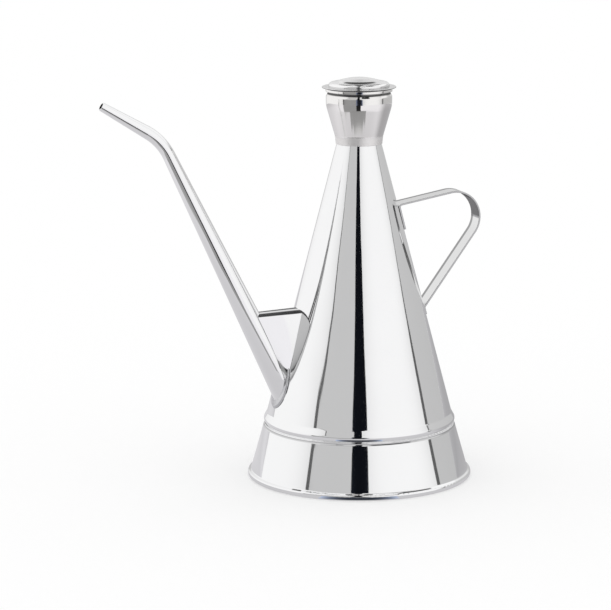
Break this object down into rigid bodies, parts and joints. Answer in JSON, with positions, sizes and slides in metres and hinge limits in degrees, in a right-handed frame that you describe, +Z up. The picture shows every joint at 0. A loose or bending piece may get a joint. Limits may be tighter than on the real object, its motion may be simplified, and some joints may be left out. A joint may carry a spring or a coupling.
{
  "type": "olive oil can",
  "caption": "Conical steel oil can with a long bent pouring spout, a strap handle and a lift-off lid on a filling cup.",
  "frame": {"origin": "on the can's axis, in the plane it stands on", "axes": "+Z up along the axis of the cone; the spout points to -X and the handle to +X, both in the XZ plane"},
  "size_m": [0.1901, 0.1092, 0.1952],
  "materials": {
    "polished_steel": "mirror-polished stainless steel sheet",
    "solder": "wiped solder seam, slightly duller than the sheet"
  },
  "bodies": {
    "can": {"body_cone": "polished_steel", "base_skirt": "polished_steel", "bottom_plate": "polished_steel", "neck_cup": "polished_steel", "spout": "polished_steel", "spout_seam": "solder", "spout_gusset": "polished_steel", "handle_strap": "polished_steel"},
    "lid": {"lid": "polished_steel", "lid_plug": "polished_steel"}
  },
  "joints": [
    {"name": "lid_lift", "type": "slide", "parent": "can", "child": "lid", "axis": [0, 0, 1], "range_m": [0, 0.03]}
  ]
}
